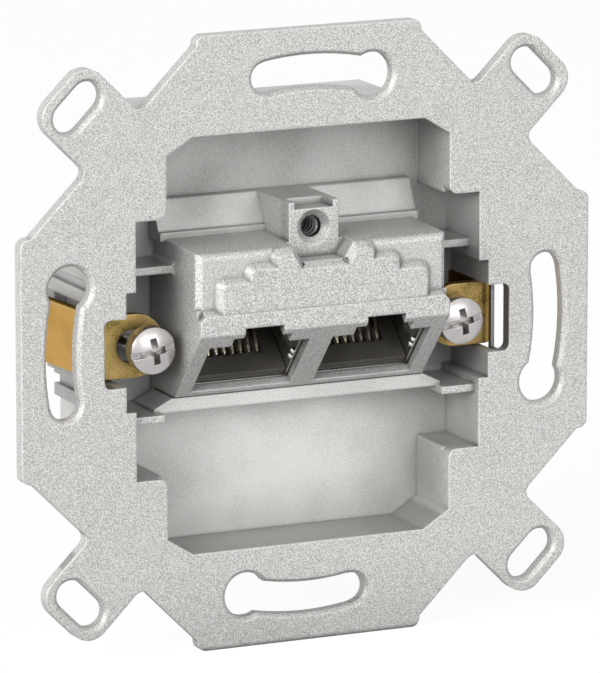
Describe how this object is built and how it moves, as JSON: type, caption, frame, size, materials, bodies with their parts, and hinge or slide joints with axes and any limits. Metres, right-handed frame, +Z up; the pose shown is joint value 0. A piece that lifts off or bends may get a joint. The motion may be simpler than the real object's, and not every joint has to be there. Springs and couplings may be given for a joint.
{
  "type": "ethernet socket insert",
  "caption": "Flush data socket insert: die-cast plate with diagonal ears and a stepped tub, a slanted hood over modular jacks, and screw-driven claws that grip a wall box.",
  "frame": {"origin": "centre of the plate, on its rear face, where the plate rests on the wall", "axes": "+X to the right seen from the front, +Y into the wall, +Z up"},
  "size_m": [0.071, 0.0333, 0.071],
  "materials": {
    "zinc_casting": "matt blasted zinc die casting",
    "yellow_steel": "yellow passivated sheet steel",
    "bright_screw": "bright zinc plated",
    "black_plastic": "moulded",
    "gilt_contact": "gold plated spring wire",
    "shield_sheet": "tinned spring sheet",
    "board": "glass fibre board with solder resist",
    "cream_plastic": "moulded",
    "tinned_contact": "tinned"
  },
  "bodies": {
    "housing": {"front_housing": "zinc_casting", "rear_cover": "zinc_casting", "circuit_board": "board", "left_jack_body": "black_plastic", "right_jack_body": "black_plastic", "left_contact_carrier": "black_plastic", "right_contact_carrier": "black_plastic", "left_jack_contacts": "gilt_contact", "right_jack_contacts": "gilt_contact", "left_jack_shield": "shield_sheet", "right_jack_shield": "shield_sheet", "upper_terminal_block": "cream_plastic", "lower_terminal_block": "cream_plastic", "upper_terminal_contacts": "tinned_contact", "lower_terminal_contacts": "tinned_contact", "cable_clamp": "shield_sheet", "clamp_screws": "bright_screw", "cover_screws": "bright_screw", "board_screws": "bright_screw"},
    "left_screw": {"left_claw_screw": "bright_screw"},
    "right_screw": {"right_claw_screw": "bright_screw"},
    "left_claw_arm": {"left_claw": "yellow_steel"},
    "right_claw_arm": {"right_claw": "yellow_steel"}
  },
  "joints": [
    {"name": "left_screw_drive", "type": "slide", "parent": "housing", "child": "left_screw", "axis": [0, 1, 0], "range_m": [0, 0.003]},
    {"name": "right_screw_drive", "type": "slide", "parent": "housing", "child": "right_screw", "axis": [0, 1, 0], "range_m": [0, 0.003]},
    {"name": "left_claw_swing", "type": "hinge", "parent": "left_screw", "child": "left_claw_arm", "pos_m": [-0.0236, 0.0033, 0], "axis": [0, 0, 1], "range_deg": [0, 12]},
    {"name": "right_claw_swing", "type": "hinge", "parent": "right_screw", "child": "right_claw_arm", "pos_m": [0.0236, 0.0033, 0], "axis": [0, 0, -1], "range_deg": [0, 12]}
  ],
  "couplings": [
    {"joint": "left_claw_swing", "follows": "left_screw_drive", "rad_per_m": 69.8},
    {"joint": "right_claw_swing", "follows": "right_screw_drive", "rad_per_m": 69.8}
  ]
}
